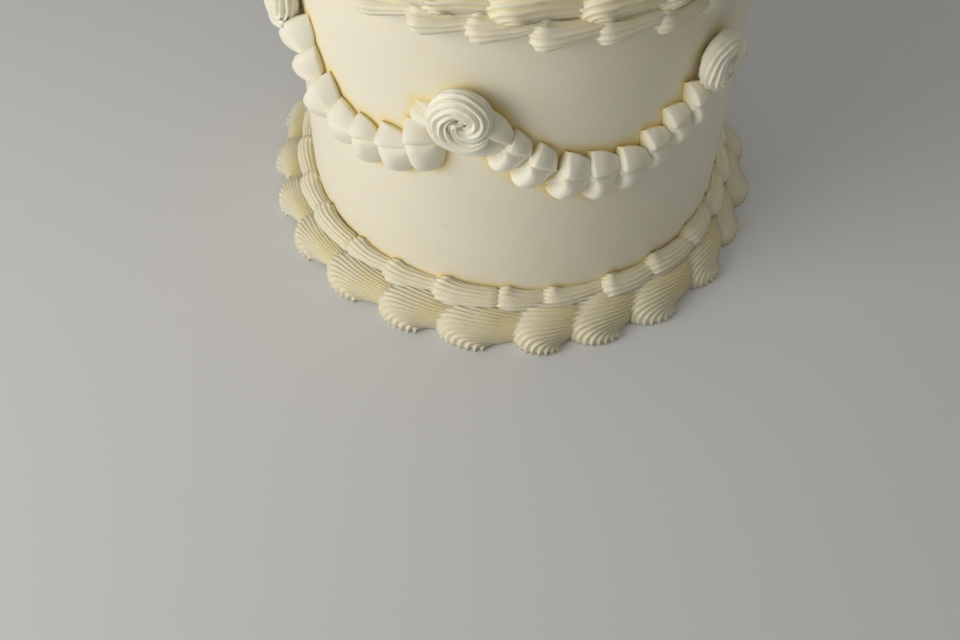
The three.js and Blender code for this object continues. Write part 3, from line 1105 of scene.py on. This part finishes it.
def body_tree(material, pieces):
    """Spatula marks as small moves of the drum's points, and the warm line at the joints painted as
    shade.
    """
    net, inputs = new_shape_tree("smoothed_drum", BODY_SIZES)
    x, y, z = net.parts(net.add("GeometryNodeInputPosition"))
    outward = net.vector_math("NORMALIZE", net.vector(x, y, 0.0))
    squashed = net.vector(x, y, z * SWELL_SQUASH)
    sockets = {"Vector": squashed, "W": inputs["Seed"], "Scale": SWELL_SCALE, "Detail": 2.0}
    swell = net.add("ShaderNodeTexNoise", {"noise_dimensions": "4D"}, sockets)
    side = z.above(0.002) * ((CAKE_HEIGHT - EDGE_ROUND) * MM - z).above(0.0)
    push = (swell - 0.5) * inputs["Swell"] * MM * side * 2.0
    sockets = {"Geometry": inputs["Geometry"], "Offset": net.scaled(outward, push)}
    pushed = net.add("GeometryNodeSetPosition", None, sockets)
    top = z.above((CAKE_HEIGHT - 0.05) * MM)
    lift = net.vector(0.0, 0.0, (swell - 0.62) * inputs["Swell"] * MM * top * 2.0)
    raised = net.add("GeometryNodeSetPosition", None, {"Geometry": pushed, "Offset": lift})
    # Painted warm shade beside the piping, where bounced light falls in a warm line.
    beside_borders = nearness(net, pieces[:4], inputs["Border Reach"]) ** 1.6
    beside_swags = nearness(net, pieces[4:], inputs["Swag Reach"]) ** 1.9
    near = beside_borders.at_least(beside_swags)
    glowing = with_attribute(net, raised, "groove", near)
    smooth = net.add("GeometryNodeSetShadeSmooth", None, {"Geometry": glowing})
    done = net.add("GeometryNodeSetMaterial", None, {"Geometry": smooth, "Material": material})
    output = net.tree.nodes.new("NodeGroupOutput")
    net.tree.links.new(done.socket, output.inputs[0])
    return net.tree


drum = drum_mesh("drum", body_profile(), BODY_COLUMNS)
piping = [foot_shells, rim_shells, lower_border, upper_border, swags, rosettes]
body = piece_from_tree("smooth_body", body_tree(smooth_cream, piping), drum, BODY_SIZES)

# %% [markdown]
# Every piece rides on the one body of the cake, hides the imported nodes that it stands
# for and says how many they are.

# %% Tie the pieces to the imported cake
DRESSING = [
    (body, "smooth_cream", ["body"]),
    (foot_shells, "foot_shell_cream", nodes_named("foot_shell")),
    (rim_shells, "rim_shell_cream", nodes_named("rim_shell")),
    (lower_border, "small_border_cream", ["lower_small_border"]),
    (upper_border, "small_border_cream", ["upper_small_border"]),
    (swags, "swag_cream", nodes_named("swag")),
    (rosettes, "rosette_cream", nodes_named("rosette")),
]
for piece, slot, nodes in DRESSING:
    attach(piece, "root")
    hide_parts(*nodes)
    print(piece.name, "stands for", len(nodes), "packed nodes")

# %% [markdown]
# The cake stands on a plain pale floor. A large soft light stands low on the left, like
# a window, and a pale ceiling sends a little light down.

# %% Floor, lights and sky
WINDOW_PLACE = (-0.55, -0.55, 0.33)
WINDOW_TARGET = (0.0, 0.0, 0.07)
WINDOW_COLOUR = (1.0, 0.965, 0.93)
CEILING_PLACE = (0.2, 0.1, 1.2)
CEILING_COLOUR = (1.0, 0.99, 0.98)
floor_material = bpy.data.materials.new("pale_floor")
floor_material.use_nodes = True
floor_shader = floor_material.node_tree.nodes["Principled BSDF"]
floor_shader.inputs["Base Color"].default_value = (0.75, 0.757, 0.77, 1.0)
floor_shader.inputs["Roughness"].default_value = 0.7
bpy.ops.mesh.primitive_plane_add(size=6.0, location=(0.0, 0.0, -0.0002))
floor = bpy.context.object
floor.name = "floor"
floor.data.materials.append(floor_material)
floor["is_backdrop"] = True


def soft_light(name, place, target, size, power, colour):
    """A round area light that looks at its target."""
    data = bpy.data.lights.new(name, "AREA")
    data.shape = "DISK"
    data.size = size
    data.energy = power
    data.color = colour
    lamp = bpy.data.objects.new(name, data)
    lamp.location = place
    lamp.rotation_euler = (Vector(target) - Vector(place)).to_track_quat("-Z", "Y").to_euler()
    bpy.context.scene.collection.objects.link(lamp)


soft_light("window", WINDOW_PLACE, WINDOW_TARGET, 0.6, 3.9, WINDOW_COLOUR)
soft_light("ceiling", CEILING_PLACE, (0.0, 0.0, 0.0), 1.2, 1.7, CEILING_COLOUR)
world = bpy.data.worlds.new("room")
bpy.context.scene.world = world
world.use_nodes = True
sky = world.node_tree.nodes["Background"]
sky.inputs["Color"].default_value = (1.0, 0.98, 0.91, 1.0)
sky.inputs["Strength"].default_value = 0.2
bpy.context.scene.view_settings.view_transform = "Standard"
print("lights:", [light.name for light in bpy.data.lights])

# %% [markdown]
# The photograph was taken from above the front and a little to the right. It is the
# lower part of a taller picture, which a small downward shift of the lens stands for.

# %% Camera
CAMERA_PLACE = Vector((0.06132, -0.32240, 0.31461))
CAMERA_TARGET = Vector((0.00175, -0.06583, 0.045))
CAMERA_LENS = 41.07
CAMERA_ROLL = -1.087
CAMERA_SHIFT = -0.13
camera_data = bpy.data.cameras.new("camera")
camera_data.lens = CAMERA_LENS
camera_data.sensor_width = 36.0
camera_data.shift_y = CAMERA_SHIFT
camera = bpy.data.objects.new("camera", camera_data)
facing = (CAMERA_TARGET - CAMERA_PLACE).to_track_quat("-Z", "Y").to_matrix()
facing = facing @ Matrix.Rotation(math.radians(-CAMERA_ROLL), 3, "Z")
camera.rotation_euler = facing.to_euler()
camera.location = CAMERA_PLACE
bpy.context.scene.collection.objects.link(camera)
bpy.context.scene.camera = camera
print("camera to cake in metres:", round((CAMERA_TARGET - CAMERA_PLACE).length, 3))

# %% Compare the sizes and finish
low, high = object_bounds()
growth = [after - before for before, after in zip((*cad_low, *cad_high), (*low, *high))]
print("grown by mm:", [round(side / MM, 2) for side in growth])
